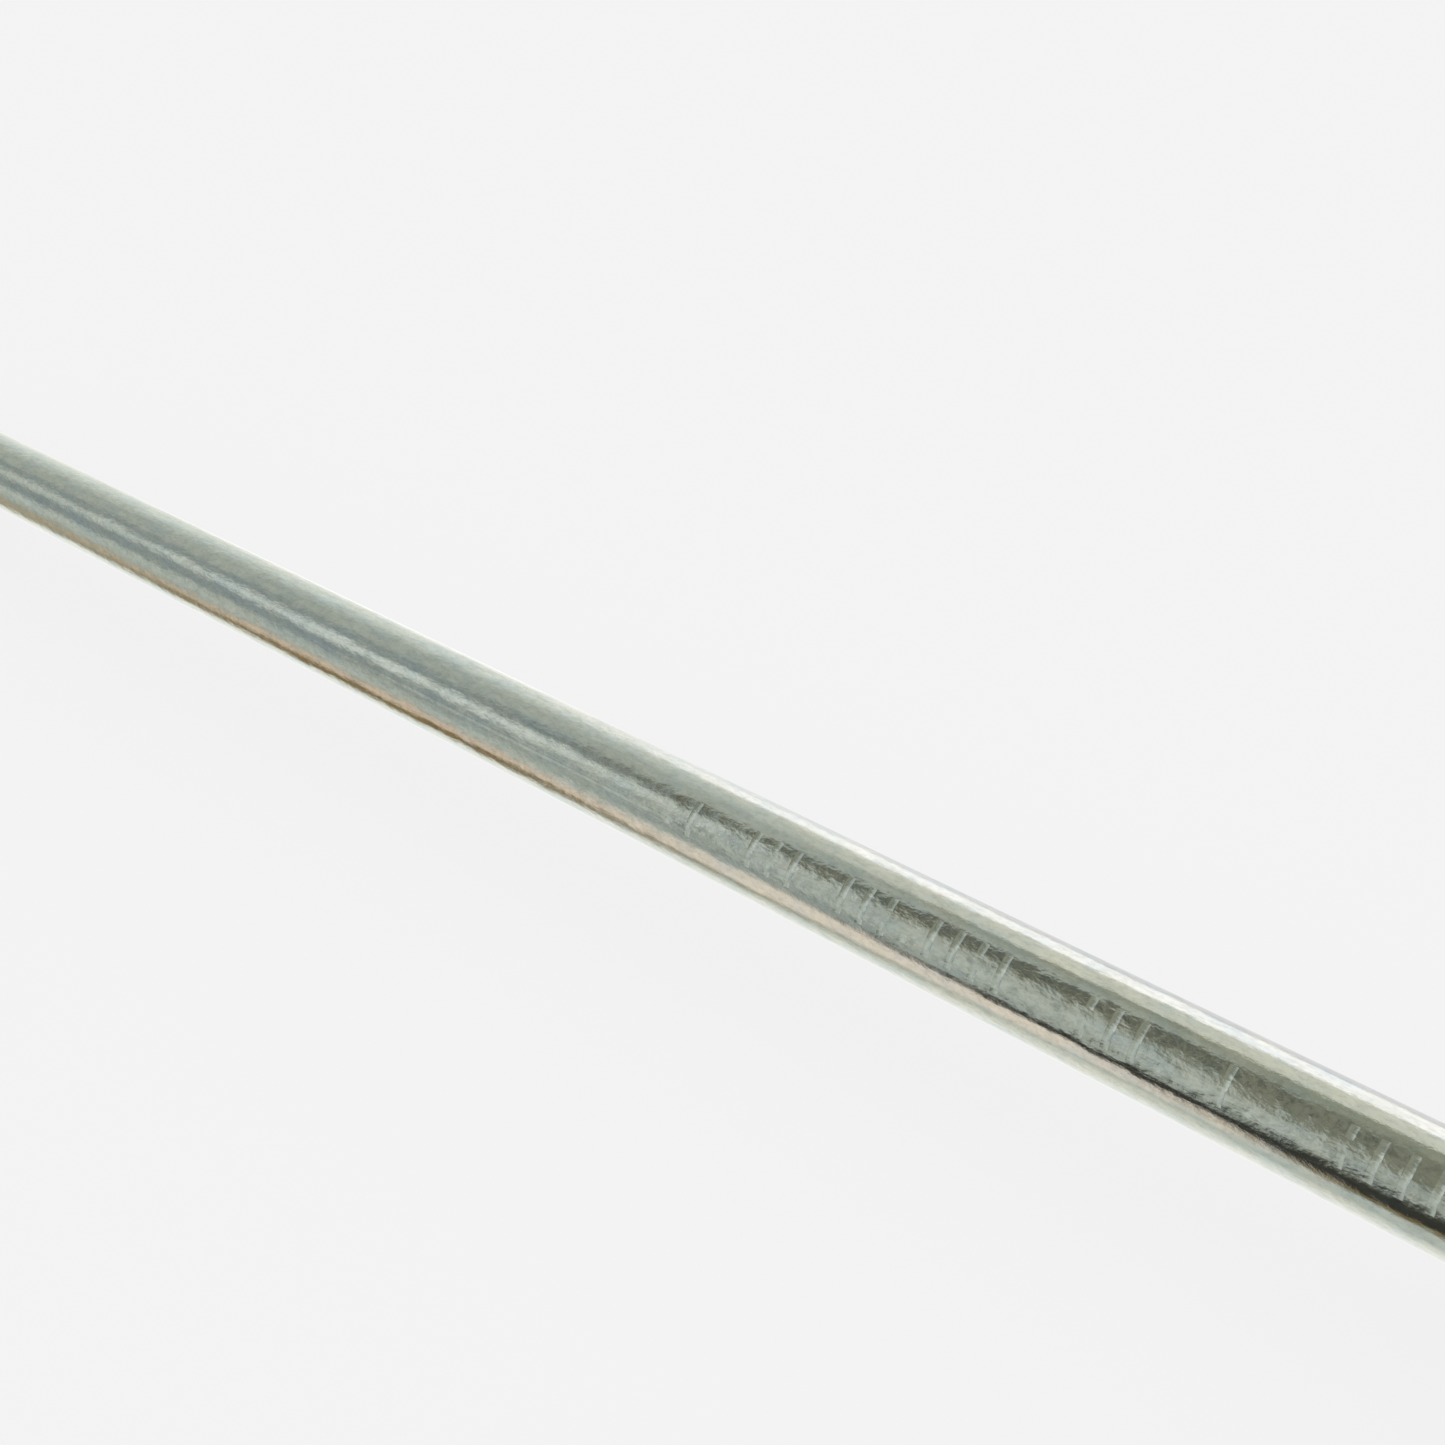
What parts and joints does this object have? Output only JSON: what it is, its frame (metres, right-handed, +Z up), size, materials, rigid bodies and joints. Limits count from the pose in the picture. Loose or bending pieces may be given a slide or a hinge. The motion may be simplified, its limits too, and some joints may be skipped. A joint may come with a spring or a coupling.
{
  "type": "inoculating loop",
  "caption": "Wire loop clamped in a knurled screw chuck on a slim polished metal rod, with a hexagonal insulating grip and a domed end cap.",
  "frame": {"origin": "bottom centre of the bounding box, in the plane of the grip's lowest flat", "axes": "+X along the tool towards the end of the grip, the wire loop is at -X, +Z up from the flat it rests on"},
  "size_m": [0.298, 0.0116, 0.01],
  "materials": {
    "nichrome_wire": "satin",
    "turned_brass": "satin",
    "nickel_plate": "polished",
    "polished_rod": "polished",
    "red_fibre": "matte",
    "black_phenolic": "gloss",
    "zinc_steel": "satin"
  },
  "bodies": {
    "holder": {"shaft": "polished_rod", "chuck_body": "nickel_plate", "chuck_pin": "polished_rod", "front_ferrule": "nickel_plate", "front_washer": "red_fibre", "grip_sleeve": "black_phenolic", "rear_washer": "zinc_steel", "spring_washer": "zinc_steel", "tang_nut": "zinc_steel", "end_cap": "nickel_plate"},
    "collet": {"collet": "turned_brass"},
    "cap": {"chuck_cap": "nickel_plate"},
    "wire": {"wire_loop": "nichrome_wire"}
  },
  "joints": [
    {"name": "collet_travel", "type": "slide", "parent": "holder", "child": "collet", "axis": [-1, 0, 0], "range_m": [0, 0.0025]},
    {"name": "cap_turn", "type": "hinge", "parent": "collet", "child": "cap", "pos_m": [-0.0825, 0, 0.005], "axis": [-1, 0, 0], "range_deg": [0, 1800]},
    {"name": "wire_pull", "type": "slide", "parent": "collet", "child": "wire", "axis": [-1, 0, 0], "range_m": [0, 0.0145]}
  ],
  "couplings": [
    {"joint": "cap_turn", "follows": "collet_travel", "rad_per_m": 12566}
  ]
}
